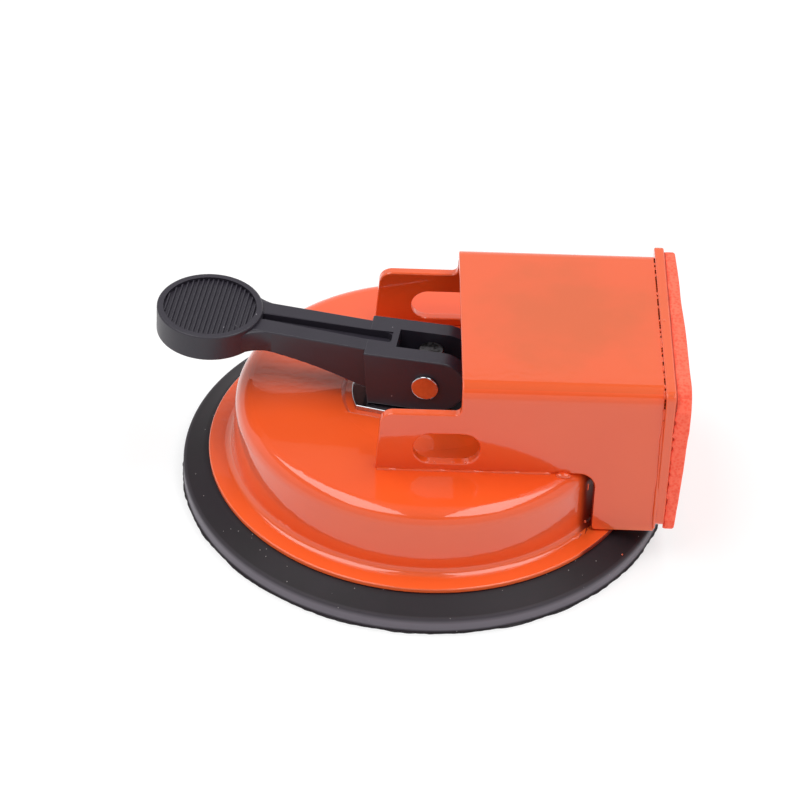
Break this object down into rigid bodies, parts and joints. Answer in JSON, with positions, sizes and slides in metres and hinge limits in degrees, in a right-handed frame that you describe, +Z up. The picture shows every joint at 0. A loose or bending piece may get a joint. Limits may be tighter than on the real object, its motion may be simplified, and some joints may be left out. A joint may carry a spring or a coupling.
{
  "type": "suction cup lifter",
  "caption": "Round rubber suction cup under a pressed steel dome, drawn up by a cam lever, with a slotted sheet channel and a padded end plate on top.",
  "frame": {"origin": "on the cup's axis, at the surface that the cup stands on", "axes": "+Z up along the cup's axis, +X from the thumb paddle's side towards the padded end plate"},
  "size_m": [0.1599, 0.15, 0.063],
  "materials": {
    "cup_rubber": "moulded black rubber, satin",
    "orange_paint": "glossy orange paint",
    "bright_plate": "bright plating",
    "plain_steel": "turned steel",
    "black_plastic": "moulded, satin black",
    "tape": "adhesive film",
    "foam": "soft orange-red foam"
  },
  "bodies": {
    "base": {"rubber_cup": "cup_rubber", "dome_shell": "orange_paint", "wear_plate": "bright_plate", "return_spring": "plain_steel", "channel_bracket": "orange_paint", "end_plate": "orange_paint", "foam_tape": "tape", "foam_pad": "foam", "bracket_welds": "orange_paint", "end_plate_welds": "orange_paint"},
    "drawn_insert": {"insert_plate": "plain_steel", "spring_seat": "plain_steel"},
    "rod": {"draw_rod": "plain_steel", "rod_nut": "plain_steel", "pivot_pin": "bright_plate", "pin_clip": "plain_steel"},
    "lever": {"cam_lever": "black_plastic"}
  },
  "joints": [
    {"name": "rod_lift", "type": "slide", "parent": "base", "child": "drawn_insert", "axis": [0, 0, 1], "range_m": [0, 0.0026], "deforming": ["return_spring", "rubber_cup"]},
    {"name": "lever_swivel", "type": "hinge", "parent": "drawn_insert", "child": "rod", "pos_m": [0, 0, 0.0421], "axis": [0, 0, 1], "range_deg": [-5.5, 24.5]},
    {"name": "lever_turn", "type": "hinge", "parent": "rod", "child": "lever", "pos_m": [0, 0, 0.0421], "axis": [0.165, 0.9863, 0], "range_deg": [0, 70]}
  ],
  "couplings": [
    {"joint": "rod_lift", "follows": "lever_turn", "m_per_rad": 0.00206}
  ]
}
